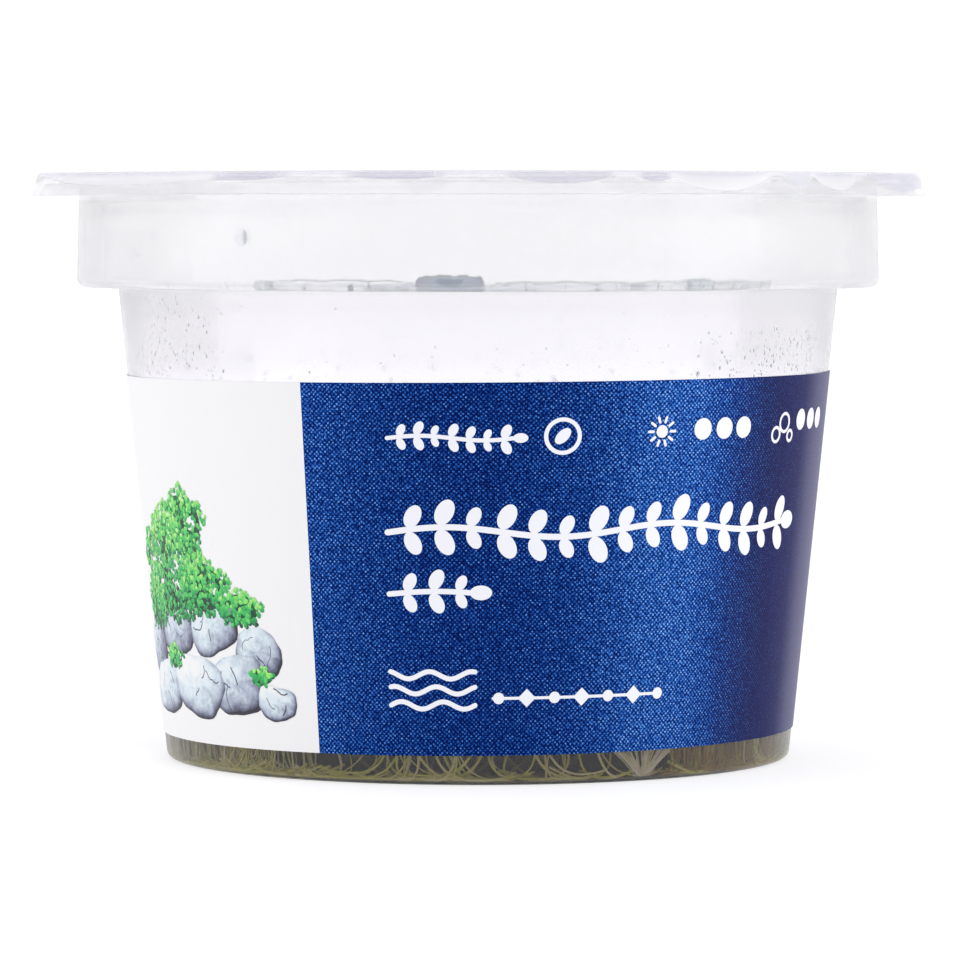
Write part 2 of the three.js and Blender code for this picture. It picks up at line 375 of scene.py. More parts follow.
def makeCup():
    c = cupShape
    lipLow = c["rimTop"] - c["lipHeight"]
    lipTop = c["rimRadius"] - c["lipLean"]
    under = c["rimTop"] - c["flangeThickness"]
    ledge = c["collarBottom"] + c["ledge"]
    piece = turnOutline("cup_clear", roundCorners([
        (0, 0, 0),
        (bodyRadius(0), 0, c["footFillet"]),
        (c["neckRadius"], c["collarBottom"], 0.2),
        (c["collarRadiusLow"], c["collarBottom"], 1.0),
        (c["collarRadiusTop"], under, 0.6),
        (lipTop - c["lipThickness"], under, 0.3),
        (c["rimRadius"] - c["lipThickness"], lipLow, 0.4),
        (c["rimRadius"], lipLow, 0.2),
        (lipTop, c["rimTop"], 0.25),
        (c["mouthRadius"], c["rimTop"], 0.25),
        (c["mouthRadius"], c["shelfHeight"] + 1.2, 5.0),
        (c["collarInside"], c["shelfHeight"] - 1.6, 5.0),
        (c["collarInside"], ledge, 0.4),
        (insideRadius(ledge), ledge, 0.3),
        (insideRadius(c["floor"]), c["floor"], c["footFillet"] - c["wall"]),
        (0, c["floor"], 0),
    ]), c["segments"])
    dress(piece, makePolypropylene(), "clear_polypropylene", "cup")
    print("cup turned")


filmShape = {
    "thickness": 0.05,
    "margin": 0.5,           # how far the film is folded down everywhere
    "deepest": 2.0,
    "sag": 0.25,             # how far the middle hangs
    "wrinkle": 0.06,
    "flaps": [               # from and to in degrees, depth, and 0 for a greyer painted shade to 1 for a whiter painted reflection
        (-74, -28, 1.4, 0.62), (-41, -21, 1.0, 0.0), (-19, -1, 0.9, 0.0), (2, 18, 1.3, 0.1),
        (19, 25, 1.1, 0.1), (23.5, 39, 2.0, 0.95), (40, 46, 1.6, 0.3), (45.5, 55.5, 1.9, 0.9),
        (57, 80, 2.0, 0.15),
    ],
    "backFlaps": 11,         # more of them, at random, on the far side
}


def filmFlaps():
    f = filmShape
    draw = random.Random(5)
    flaps = list(f["flaps"])
    start = 88
    for _ in range(f["backFlaps"]):
        width = draw.uniform(8, 22)
        depth = draw.uniform(0.8, f["deepest"])
        flaps.append((start, start + width, depth, draw.choice([0.2, 0.35, 0.6, 0.9])))
        start += width + draw.uniform(0, 4)
    return flaps


# How far the margin hangs at an azimuth, and its tone there, from painted shade to painted reflection
def filmMargin(azimuth, flaps):
    degrees = (math.degrees(azimuth) + 90) % 360 - 90
    depth, tone = filmShape["margin"], 0.45
    for first, last, reach, shade in flaps:
        if first < degrees < last:
            hang = reach * math.sin(math.pi * (degrees - first) / (last - first)) ** 0.6
            if hang > depth:
                tone += (shade - tone) * min(1.0, (hang - depth) / 0.3)
                depth = hang
    return depth, tone


# The film's section: flat from the middle to the fold, and down along the lip
def filmOutline(top, fold):
    thick = filmShape["thickness"]
    drop = filmShape["deepest"]
    flat = [fold * i / 44 for i in range(44)]
    down = [i / 10 for i in range(11)]
    outline = [(r, top) for r in flat] + [(fold + 0.2 * t, top - t * drop) for t in down]
    outline += [(fold - thick + 0.2 * t, top - t * drop - thick * (1 - t)) for t in reversed(down)]
    return outline + [(r, top - thick) for r in reversed(flat)]


def makeFilm():
    f = filmShape
    c = cupShape
    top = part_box("film_lid")[1].z / mm
    fold = c["rimRadius"] - c["lipLean"]
    piece = turnOutline("film_clear", filmOutline(top, fold), 2 * c["segments"])
    lipLow = c["rimTop"] - c["lipHeight"]
    flaps = filmFlaps()
    tones = []
    for vertex in piece.data.vertices:
        x, y, z = (value / mm for value in vertex.co)
        radius = math.hypot(x, y)
        azimuth = math.atan2(x, -y)
        t = max(0.0, (top - z) / f["deepest"])
        tone = 0.5
        if radius > fold - 0.3 and t > 0.02:      # the margin, folded down along the lip
            depth, tone = filmMargin(azimuth, flaps)
            height = top - t * depth
            lip = c["rimRadius"] - c["lipLean"] * (height - lipLow) / c["lipHeight"]
            loose = 0.12 * t * max(0.0, math.sin(5 * azimuth + 1.0) + 0.6 * math.sin(13 * azimuth))
            inward = min(0.0, radius - fold - 0.2 * t)
            radius = min(lip + 0.08 + f["thickness"] + loose, c["rimRadius"] - 0.01) + inward
            tone = min(tone, 0.15 + max(0.0, t - 0.1))         # painted shade: greyer along the crease where it turns over the rim
            x, y, z = around(radius, azimuth, height)
        elif radius < c["mouthRadius"]:           # the open middle hangs a little and is drawn in folds
            share = radius / c["mouthRadius"]
            edge = (1 - share ** 2) ** 2
            folds = math.sin(9 * azimuth + 3 * share) * share ** 3
            folds += 0.7 * math.sin(0.35 * x + 0.2 * y + 1.0)
            z -= f["sag"] * edge + f["wrinkle"] * max(0.0, 1.7 + folds) * (1 - share ** 8)
        tones.append(tone)
        vertex.co = (x * mm, y * mm, z * mm)
    keepTones(piece.data, "fold", tones)
    dress(piece, makeFilmMaterial(), "peel_film", "film_lid")
    print("film laid")


gelShape = {
    "into": 0.08,            # how far it reaches into the wall, so light passes straight through both
    "climb": 0.7,            # how far its edge is drawn up the wall, and from how far in
    "climbWidth": 1.1,
    "dip": 0.05,             # of the rest of its top
}


def makeGel():
    c = cupShape
    into = gelShape["into"]
    edge = gelTop + gelShape["climb"]
    flat = gelTop - gelShape["dip"]
    piece = turnOutline("gel_set", roundCorners([
        (0, c["floor"] - into, 0),
        (insideRadius(c["floor"] - into) + into, c["floor"] - into, c["footFillet"] - c["wall"] + into),
        (insideRadius(edge) + into, edge, 0),
        (insideRadius(gelTop + 0.2) - 0.25, gelTop + 0.2, 0.3),
        (insideRadius(gelTop) - gelShape["climbWidth"], flat, 0.5),
        (0, flat, 0),
    ]), c["segments"])
    dress(piece, makeGelMaterial(), "gel", "nutrient_gel")
    print("gel set")


# Plantlets

plantShape = {
    "count": 7,
    "centreRadius": 11.0,
    "gap": 0.5,
    "stems": 140,
    "points": 8,             # along each stem
    "pairs": 9,              # pairs of leaves on each stem
    "firstPair": 0.25,       # where the lowest pair grows, as a share of the stem
    "leaf": (1.3, 2.3),      # smallest and largest leaf, base to tip
    "stem": 0.34,
    "lean": 1.4,             # how far the tops, middles and wiggles of the stems stray
    "bow": 1.1,
    "wiggle": 0.35,
    "clearance": 0.5,        # room kept to the wall
    "glow": 0.36,            # how much light comes through the leaves
    "green": [(0.0, "#286614"), (0.35, "#4C9C24"), (0.7, "#8ACC3E"), (1.0, "#C2E872")],
}


# The spot for u and v from -1 to 1 on the middle plantlet's disc or an outer one's part of the ring
def patch(index, u, v):
    p = plantShape
    if index == 0:
        reach = p["centreRadius"] - p["gap"] / 2
        return reach * u * np.sqrt(1 - v * v / 2), reach * v * np.sqrt(1 - u * u / 2)
    ringCount = p["count"] - 1
    low = p["centreRadius"] + p["gap"] / 2
    high = insideRadius(gelTop) - 2 * p["gap"]
    radius = (low + high) / 2 + (high - low) / 2 * u
    azimuth = 2 * np.pi * (index - 1) / ringCount + (np.pi / ringCount - p["gap"] / 2 / radius) * v
    return radius * np.sin(azimuth), -radius * np.cos(azimuth)


# Keeps points off the wall
def insideWall(points, clearance):
    radius = np.hypot(points[..., 0], points[..., 1])
    reach = np.minimum(1, (wallInside(points[..., 2]) - clearance) / np.maximum(radius, 1e-6))
    points[..., 0] *= reach
    points[..., 1] *= reach
    return points


# The routes of a plantlet's stems, from the gel up into a cushion that is rounded at its sides
def stemRoutes(index, height, draw):
    p = plantShape
    count = p["stems"] if index else round(0.85 * p["stems"])
    u = draw.uniform(-1, 1, count)
    v = draw.uniform(-1, 1, count)
    if index:
        u[: count // 3] = draw.uniform(0.8, 1, count // 3)     # close along the wall
    crown = ((1 - np.abs(u) ** 6) * (1 - np.abs(v) ** 6)) ** (1 / 3)
    low = np.stack([*patch(index, 0.9 * u, 0.92 * v), np.full(count, gelTop - 0.6)], -1)
    reach = height * np.maximum(0.35, crown) * draw.uniform(0.72, 1.0, count)
    top = np.stack([*patch(index, u, v), gelTop + reach], -1)
    top[:, :2] += draw.normal(0, p["lean"], (count, 2))
    share = np.linspace(0, 1, p["points"])[None, :, None]
    routes = low[:, None] * (1 - share) + top[:, None] * share
    bow = draw.normal(0, p["bow"], (count, 1, 3)) * np.sin(np.pi * share)
    wiggle = draw.normal(0, p["wiggle"], (count, 1, 3)) * np.sin(3 * np.pi * share)
    return insideWall(routes + (bow + wiggle) * [1, 1, 0.3], p["clearance"] + 0.5)


# Leaves in opposite pairs along stems, each pair a quarter turn from the pair below it
def leafPairs(routes, draw):
    p = plantShape
    count, pairs, last = len(routes), p["pairs"], p["points"] - 1
    place = np.linspace(p["firstPair"], 1, pairs)[None] + draw.uniform(-0.04, 0.04, (count, pairs))
    place = np.clip(place, 0, 1) * last
    step = np.minimum(place.astype(int), last - 1)
    part = (place - step)[..., None]
    row = np.arange(count)[:, None]
    nodes = routes[row, step] * (1 - part) + routes[row, step + 1] * part
    along = unit(routes[row, step + 1] - routes[row, step])
    turn = draw.uniform(0, np.pi, (count, 1)) + np.arange(pairs) * np.pi / 2
    turn = turn + draw.normal(0, 0.25, (count, pairs))
    level = np.stack([np.cos(turn), np.sin(turn), np.zeros_like(turn)], -1)
    level = unit(level - along * np.sum(level * along, axis=-1, keepdims=True))
    size = draw.uniform(*p["leaf"], (count, pairs)) * (1 - 0.35 * (place / last) ** 6)
    bases, outward, facing, sizes, tones = [], [], [], [], []
    for way in (-1, 1):
        bases.append(nodes)
        outward.append(level * way + along * draw.uniform(0.1, 0.55, (count, pairs, 1)))
        facing.append(along + draw.normal(0, 0.28, (count, pairs, 3)))
        sizes.append(size * draw.uniform(0.85, 1.1, (count, pairs)))
        tones.append(0.2 + 0.55 * place / last + draw.uniform(-0.2, 0.25, (count, pairs)))
    bases, outward, facing = [np.concatenate(both).reshape(-1, 3) for both in (bases, outward, facing)]
    points, faces = blades(bases, outward, facing, np.concatenate(sizes).reshape(-1))
    return points, faces, np.repeat(np.concatenate(tones).reshape(-1), len(points) // len(bases))


def growPlantlet(index, material):
    p = plantShape
    node = f"plantlet_{index + 1}"
    draw = np.random.RandomState(40 + index)
    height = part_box(node)[1].z / mm - gelTop
    routes = stemRoutes(index, height, draw)
    thickness = np.repeat(np.linspace(p["stem"], 0.5 * p["stem"], p["points"])[None], len(routes), 0)
    points, faces = threads(routes, thickness)
    tones = np.repeat(draw.uniform(0.5, 0.85, len(routes)), len(points) // len(routes))
    leafPoints, leafFaces, leafTones = leafPairs(routes, draw)
    faces += countOn(leafFaces, len(points))
    points = np.concatenate([points, insideWall(leafPoints, p["clearance"])])
    points[:, 2] = np.clip(points[:, 2], gelTop - 0.9, gelTop + height)
    piece = joinShapes(f"{node}_grown", points, faces, np.concatenate([tones, leafTones]))
    dress(piece, material, "foliage", node)


def makePlantlets():
    material = makeTissue("leafTissue", plantShape["green"], plantShape["glow"])
    for index in range(plantShape["count"]):
        growPlantlet(index, material)
    print("plantlets grown")


# Stems and roots set in the gel

rootShape = {
    "points": 18,
    "bunches": 46,           # where stems come together as they reach the floor
    "bunched": [
        # count, nearest to the wall and farthest from it, spread
        (165, 0.15, 0.6, 0.07), (50, 1.6, 10.0, 0.16),
    ],
    "bunchedWidth": (0.18, 0.42),
    "fringes": [
        # upright stems close to the wall: from and to in degrees, count, brown 0 to pale 1
        (38, 74, 270, 0.3), (70, 86, 50, 0.6), (-82, -56, 80, 0.85), (-52, -30, 40, 0.74),
        (90, 270, 150, 0.6),
    ],
    "fringeWidth": (0.14, 0.32),
    "runners": [
        # roots that run along the floor: from and to in degrees, count, tone
        (-64, -22, 56, 0.66), (-20, 45, 12, 0.6), (45, 80, 20, 0.35), (90, 270, 70, 0.6),
    ],
    "runnerWidth": (0.18, 0.42),
    "tufts": [
        # pale fans of fine roots: from and to in degrees, tip, count
        (22.5, 39.5, 30.8, 74), (-54.6, -51.6, -52.8, 14),
    ],
    "tuftWidth": (0.08, 0.2),
    "tuftTop": 4.0,
    "glow": 0.12,
    "shades": [(0.0, "#4E3C1A"), (0.25, "#B08A44"), (0.45, "#A09844"), (0.65, "#C8C45C"), (0.82, "#D8CC94"),
               (1.0, "#E9DFD4")],
}


# Smooth routes that come down at one azimuth, turn on another and run along the floor to a third
def rootRoutes(first, turnAt, last, depth, draw, top=gelTop - 0.2):
    t = np.linspace(0, 1, rootShape["points"])
    count = len(first)
    top = np.full(count, top)
    low = draw.uniform(-0.7, 0.1, count)
    heights = [top, np.minimum(3.0, 0.8 * top), low, draw.uniform(0.4, 1.4, count)]
    azimuths = [first, 0.6 * first + 0.4 * turnAt, turnAt, last]
    weights = [(1 - t) ** 3, 3 * t * (1 - t) ** 2, 3 * t ** 2 * (1 - t), t ** 3]
    z = sum(w * h[:, None] for w, h in zip(weights, heights))
    azimuth = sum(w * a[:, None] for w, a in zip(weights, azimuths))
    z = np.maximum(z, cupShape["floor"] + 0.2)
    radius = wallInside(z) - depth[:, None] * (1 + 0.3 * np.sin(5 * t + 9 * depth[:, None]))
    return around(radius, azimuth, z)


# Each kind of root gives its groups one by one, as routes, widths and tones
def bunchedRoots(draw):
    r = rootShape
    bunch = draw.uniform(-np.pi, np.pi, r["bunches"])
    small, large = r["bunchedWidth"]
    for count, near, far, spread in r["bunched"]:
        turnAt = bunch[draw.randint(0, len(bunch), count)] + draw.normal(0, 0.02 + spread / 4, count)
        first = turnAt + draw.normal(0, spread, count)
        last = turnAt + draw.choice([-1, 1], count) * draw.uniform(0.03, 0.26, count)
        depth = draw.uniform(near, far, count)
        routes = rootRoutes(first, turnAt, last, depth, draw)
        widths = small + (large - small) * draw.uniform(0, 1, count) ** 1.6
        # painted shade: roots that lie farther from the wall are drawn darker
        yield routes, widths, np.clip(draw.normal(0.7, 0.12, count) - 0.03 * depth, 0.1, 0.82)


def fringeRoots(draw):
    for left, right, count, tone in rootShape["fringes"]:
        first = np.radians(draw.uniform(left, right, count))
        turnAt = first + draw.normal(0, 0.025, count)
        last = first + draw.normal(0, 0.06, count)
        routes = rootRoutes(first, turnAt, last, draw.uniform(0.15, 0.9, count), draw)
        widths = draw.uniform(*rootShape["fringeWidth"], count)
        yield routes, widths, np.clip(draw.normal(tone, 0.1, count), 0.0, 0.85)


def runnerRoots(draw):
    for left, right, count, tone in rootShape["runners"]:
        first = np.radians(draw.uniform(left, right, count))
        sweep = draw.choice([-1, 1], count) * draw.uniform(0.06, 0.3, count)
        depth = draw.uniform(0.15, 0.8, count)
        top = draw.uniform(0.8, 1.9, count)
        routes = rootRoutes(first, first + sweep / 2, first + sweep, depth, draw, top)
        widths = draw.uniform(*rootShape["runnerWidth"], count)
        yield routes, widths, np.clip(draw.normal(tone, 0.09, count), 0.0, 0.8)


def tuftRoots(draw):
    for left, right, tip, count in rootShape["tufts"]:
        first = np.radians(draw.uniform(left, right, count))
        turnAt = np.radians(tip) + draw.normal(0, 0.006, count)
        last = turnAt + draw.normal(0, 0.012, count)
        routes = rootRoutes(first, turnAt, last, draw.uniform(0.1, 0.3, count), draw, rootShape["tuftTop"])
        widths = draw.uniform(*rootShape["tuftWidth"], count)
        yield routes, widths, draw.uniform(0.76, 1.02, count)


def makeRoots():
    r = rootShape
    draw = np.random.RandomState(7)
    groups = [*bunchedRoots(draw), *fringeRoots(draw), *runnerRoots(draw), *tuftRoots(draw)]
    routes, widths, tones = [np.concatenate(part) for part in zip(*groups)]
    thickness = widths[:, None] * np.linspace(1.0, 0.6, r["points"])[None]
    points, faces = threads(routes, thickness)
    piece = joinShapes("stems_in_gel", points, faces, np.repeat(tones, len(points) // len(routes)))
    dress(piece, makeTissue("stemTissue", r["shades"], r["glow"]), "foliage")
    print("stems and roots set")


# Water

waterShape = {
    "beads": [
        # from where there are few to where there are many, in degrees, low, high, count, smallest and
        # largest width
        (-43, -76, 41.5, 49.8, 330, 0.14, 0.36),
        (34, 82, 41.5, 46.5, 340, 0.14, 0.36),
        (-47, 38, 42.0, 49.5, 70, 0.1, 0.25),
        (80, 283, 30.0, 49.5, 420, 0.15, 0.6),
    ],
    "collarBeads": [(-76, -52, 53.5, 56.6, 110, 0.12, 0.3), (60, 80, 53.5, 56.6, 30, 0.12, 0.35),
                    (-62, 62, 51.05, 51.3, 46, 0.12, 0.3),
                    (85, 280, 52.5, 56.6, 160, 0.12, 0.5)],
    "drops": [(-35.4, 55.8, 1.6), (74.7, 55.3, 0.7)],     # larger, flatter ones: azimuth, height, width
    "pools": [
        # from and to in degrees, width across the ledge, height, and how dark its painted grey shade is
        (-8.9, 0.9, 1.9, 1.15, "dark"), (31.2, 35.6, 1.4, 0.75, "pale"), (-17.0, -9.4, 0.7, 0.3, "pale"),
        (36.4, 45.0, 0.7, 0.35, "pale"), (-31.0, -9.2, 1.0, 0.7, "clear"), (1.4, 24.0, 0.9, 0.55, "clear"),
        (22.0, 47.0, 0.8, 0.6, "clear"),
        (-33.5, -30.2, 0.9, 0.55, "pale"), (-25.6, -24.6, 0.4, 0.3, "dark"),
        (-18.5, -17.6, 0.4, 0.35, "dark"), (16.5, 17.6, 0.35, 0.25, "dark"),
        (120, 131, 1.7, 0.9, "dark"), (212, 218, 1.3, 0.7, "pale"),
    ],
}


# Low domes on the wall, each closed and set a little into it
def domes(centres, facing, sizes, relief=1.0, rim=8):
    facing = unit(facing)
    down = unit(np.array([0.0, 0.0, -1.0]) + facing * facing[:, 2:])
    across = np.cross(facing, down)
    half = sizes[:, None] / 2
    angle = 2 * np.pi * np.arange(rim) / rim
    edge = np.cos(angle)[:, None] * down[:, None] * 1.15 + np.sin(angle)[:, None] * across[:, None]
    rings = [centres[:, None] + half[:, None] * (edge * reach + lift * relief * facing[:, None])
             for reach, lift in ((1.0, -0.1), (0.95, -0.07), (0.74, 0.1))]
    top = (centres + half * 0.14 * relief * facing)[:, None]
    bottom = (centres - half * 0.1 * facing)[:, None]
    points = np.concatenate(rings + [top, bottom], 1)
    start = np.arange(len(centres))[:, None] * (3 * rim + 2)
    tip = start + 3 * rim
    faces = [bandFaces(start, rim), bandFaces(start + rim, rim), fanFaces(start + 2 * rim, rim, tip),
             fanFaces(start, rim, tip + 1)[:, [1, 0, 2]]]
    return points.reshape(-1, 3), [face for part in faces for face in part.tolist()]


def makeBeads():
    w = waterShape
    draw = np.random.RandomState(21)
    centres, facing, sizes = [], [], []
    for rows, straight in ((w["beads"], False), (w["collarBeads"], True)):
        for first, last, low, high, count, small, large in rows:
            azimuth = np.radians(first + (last - first) * draw.uniform(0, 1, count) ** 0.6)
            z = draw.uniform(low, high, count)
            radius = np.full(count, cupShape["collarInside"]) if straight else insideRadius(z)
            centres.append(around(radius, azimuth, z))
            facing.append(-around(1.0, azimuth, np.zeros(count)))
            sizes.append(small + (large - small) * draw.uniform(0, 1, count) ** 2.2)
    points, faces = domes(np.concatenate(centres), np.concatenate(facing), np.concatenate(sizes), 0.45)
    azimuth, z, size = np.array(w["drops"]).T
    azimuth = np.radians(azimuth)
    dropPoints, dropFaces = domes(around(cupShape["collarInside"] - 0.05, azimuth, z),
                                  -around(1.0, azimuth, np.zeros(len(z))), size, 0.25, 16)
    faces += countOn(dropFaces, len(points))
    points = np.concatenate([points, dropPoints])
    piece = joinShapes("water_beads", points, faces)
    dress(piece, makeWater("condensedBeads", "#F4F7FA"), "gel")


# A bead that lies along the ledge, from a ball bent round the cup and flattened underneath
def makePool(name, first, last, width, height, material):
    piece = newPiece(name, bpy.ops.mesh.primitive_uv_sphere_add, segments=72, ring_count=36, radius=1)
    ledge = cupShape["collarBottom"] + cupShape["ledge"]
    outer = cupShape["collarInside"] + 0.03
    tones = []
    for vertex in piece.data.vertices:
        x, y, z = vertex.co
        squared = [math.copysign(abs(value) ** 0.75, value) for value in (x, y, z)]
        ragged = 1 + 0.04 * math.sin(9 * z + first) + 0.03 * math.sin(23 * z + 2 * first)
        azimuth = math.radians((first + last) / 2 + (last - first) / 2 * squared[0] * ragged)
        radius = outer - width / 2 + width / 2 * squared[1]
        wavy = 1 + 0.07 * math.sin(13 * x + first) + 0.06 * math.sin(31 * x + 2)
        lift = max(-0.02, height * (0.5 + 0.5 * squared[2]) * wavy)
        vertex.co = Vector(around(radius, azimuth, ledge - 0.02 + lift)) * mm
        # painted shade: the tone rises towards the pool's edge, where its colour is darker
        tones.append(max(abs(x), abs(z)) ** 2 + 0.12 * math.sin(17 * x + 5 * z) + 0.1 * math.sin(41 * x))
    keepTones(piece.data, "tone", tones)
    closeShape()
    bpy.ops.object.shade_smooth()
    dress(piece, material, "gel")


def makeWaterPieces():
    makeBeads()
    # the pools' grey tints and darker edges are painted shade
    shades = {"dark": makeWater("pooledWater", "#7A8A9A", "#56617C"),
              "pale": makeWater("shallowWater", "#E2EBEA", "#CFDADF"),
              "clear": makeWater("spreadWater", "#F4F5F8", "#DEE1E7")}
    for i, (first, last, width, height, shade) in enumerate(waterShape["pools"]):
        makePool(f"water_pool_{i + 1}", first, last, width, height, shades[shade])
    # A thin thread of water stands in the ledge's corner most of the way round
    azimuth = np.linspace(0, 2 * np.pi, 361)[:-8]
    ledge = cupShape["collarBottom"] + cupShape["ledge"]
    swell = 0.15 + 0.08 * np.sin(7 * azimuth + 1) + 0.06 * np.sin(19 * azimuth)
    swell = swell + 0.04 * np.sin(41 * azimuth + 2)
    route = around(cupShape["collarInside"] - 0.1, azimuth, ledge + 0.06 + 0.0 * azimuth)
    points, faces = threads(route[None], np.maximum(0.04, swell)[None], 10)
    piece = joinShapes("water_thread", points, faces)
    dress(piece, makeWater("clearWater", "#DCE4EE"), "gel")
    print("water condensed")


# Label

labelShape = {
    "low": 3.1,
    "high": 41.2,
    "halfTurn": math.radians(97.5),
    "tilt": 0.0067,          # stuck on a little askew
    "gap": 0.05,
    "thickness": 0.1,
    "reach": 36.0,           # radius at which the print's millimetres are true
    "columns": 160,
    "rows": 24,
}

# The blue field's ink, with places in millimetres right of the label's middle
inkPlan = {
    "start": -17.97,         # where the field begins
    "pitch": 0.345,          # between dots; real ones are nearer 0.15, too fine to show
    "grain": 0.21,
    "dots": [(0.14, "#9CC4F0"), (0.28, "#5C90D2"), (0.44, "#2860B0"), (0.6, "#0C3480"), (0.8, "#05144A")],
    # Two broad upright stripes of the field are drawn lighter, with larger dots: painted highlights, added to
    # the reflections that the lamps give
    "paintedHighlightBands": [(0.0, "#FFFFFF"), (0.16, "#C8C8C8"), (0.34, "#4A4A4A"), (0.44, "#000000"), (0.55, "#8A8A8A"),
              (0.66, "#E8E8E8"), (0.74, "#EEEEEE"), (0.82, "#8A8A8A"), (0.88, "#202020"), (1.0, "#000000")],
    "spans": [
        # from and to, with the values there: along the painted highlight stripes, how far the ink turns dark
        # purple towards the right edge, a painted shade and reflection, and along its purples, and how it
        # shines at a slant, less towards the right and more at the end again
        (-30.0, 42.0, 0.0, 1.0), (27.0, 36.0, 0.0, 0.65), (33.0, 48.0, 0.0, 1.0),
        (30.0, 37.0, 1.0, 0.7), (41.5, 45.5, 0.0, 0.33),
    ],
}


# Points of the print, in millimetres right of the middle and above the table, on the cone
def onLabel(across, up, lift):
    azimuth = across / labelShape["reach"]
    z = up + labelShape["tilt"] * bodyRadius(0) * np.sin(azimuth)
    return around(bodyRadius(z) + labelShape["gap"] + lift, azimuth, z)


# Printed polypropylene label film: satin, with dark blue metallic ink in a fine halftone beside bare white.
# The ink carries painted highlights in two upright stripes and a painted dark purple shade and reflection
# towards its right edge
def makeLabelMaterial():
    p = inkPlan
    material, tree = newMaterial("labelFilmPrinted")
    place = addNode(tree, "UVMap", {"uv_map": "print"})
    across = addNode(tree, "SeparateXYZ", None, {"Vector": place}).outputs["X"]
    blue = addNode(tree, "Math", {"operation": "GREATER_THAN", 1: p["start"]}, {0: across})
    screen = addNode(tree, "Mapping", {"Rotation": (0, 0, math.radians(45))}, {"Vector": place})
    dots = addNode(tree, "TexVoronoi", {"Scale": 1 / p["pitch"], "Randomness": 0.25}, {"Vector": screen})
    fine = addNode(tree, "TexVoronoi", {"Scale": 1 / p["grain"], "Randomness": 0.5}, {"Vector": place})
    spread = addNode(tree, "Math", {"operation": "MULTIPLY_ADD", 1: 0.6}, {0: fine, 2: dots})
    share, paintedEdgeMix, end, near, far = [
        addNode(tree, "MapRange", {"From Min": left, "From Max": right, "To Min": low, "To Max": high},
                {"Value": across}) for left, right, low, high in p["spans"]]
    # painted highlight: the dots grow larger in two upright stripes
    paintedHighlightBands = addNode(tree, "ValToRGB", {"stops": p["paintedHighlightBands"]}, {"Fac": share})
    size = addNode(tree, "Math", {"operation": "MULTIPLY_ADD", 1: -0.2}, {0: paintedHighlightBands, 2: spread})
    ink = addNode(tree, "ValToRGB", {"stops": p["dots"]}, {"Fac": size})
    # painted shade and reflection: the ink is mixed with a dark purple towards the right edge
    paintedEdgeViolet = addNode(tree, "ValToRGB", {"stops": [(0.0, "#1E1740"), (1.0, "#3C3268")]}, {"Fac": end})
    field = addNode(tree, "Mix", {"data_type": "RGBA"}, {0: paintedEdgeMix, 6: ink, 7: paintedEdgeViolet})
    colour = addNode(tree, "Mix", {"data_type": "RGBA", 6: linearColour("#E8E8E7")},
                     {0: blue, 7: field.outputs[2]})
    metal = addNode(tree, "Math", {"operation": "MULTIPLY", 1: 0.97}, {0: blue})
    slant = addNode(tree, "Math", {"operation": "ADD"}, {0: near, 1: far})
    addSurface(tree, {"Roughness": 0.42, "IOR": 1.45},
               {"Base Color": colour.outputs[2], "Metallic": metal, "Specular Tint": slant})
    return material


# The unprinted back of the label film, seen through the cup: bare white with a greyish adhesive
def makeLabelBack():
    material, tree = newMaterial("labelFilmBack")
    place = addNode(tree, "TexCoord")
    cloud = addNode(tree, "TexNoise", {"Scale": 1 / (5 * mm), "Detail": 3.0},
                    {"Vector": place.outputs["Object"]})
    colour = addNode(tree, "ValToRGB", {"stops": [(0.3, "#D5D6DC"), (0.7, "#E6E7EB")]}, {"Fac": cloud})
    addSurface(tree, {"Roughness": 0.6, "IOR": 1.45}, {"Base Color": colour})
    return material


# Gives a sheet its thickness, inwards from the side that shows
def thicken(piece, thickness):
    solid = piece.modifiers.new("thicken", "SOLIDIFY")
    solid.thickness = thickness * mm
    solid.offset = -1
    bpy.ops.object.modifier_apply(modifier="thicken")
    bpy.ops.object.shade_smooth_by_angle(angle=math.radians(40))


def makeLabel():
    s = labelShape
    piece = newPiece("label_wrap", bpy.ops.mesh.primitive_grid_add,
                     x_subdivisions=s["columns"], y_subdivisions=s["rows"], size=2)
    width = s["halfTurn"] * s["reach"]
    tall = s["high"] - s["low"]
    flat = [(v.co.x * width, s["low"] + (v.co.y + 1) / 2 * tall) for v in piece.data.vertices]
    layer = piece.data.uv_layers.new(name="print")
    for loop in piece.data.loops:
        layer.data[loop.index].uv = flat[loop.vertex_index]
    for vertex, (across, up) in zip(piece.data.vertices, flat):
        vertex.co = Vector(onLabel(across, up, s["thickness"])) * mm
    closeShape()
    thicken(piece, s["thickness"])
    dress(piece, makeLabelMaterial(), "printed_label", "label")
    piece.data.materials.append(makeLabelBack())
    for face in piece.data.polygons:
        if face.normal.x * face.center.x + face.normal.y * face.center.y < -0.01:
            face.material_index = 1
    print("label wrapped")


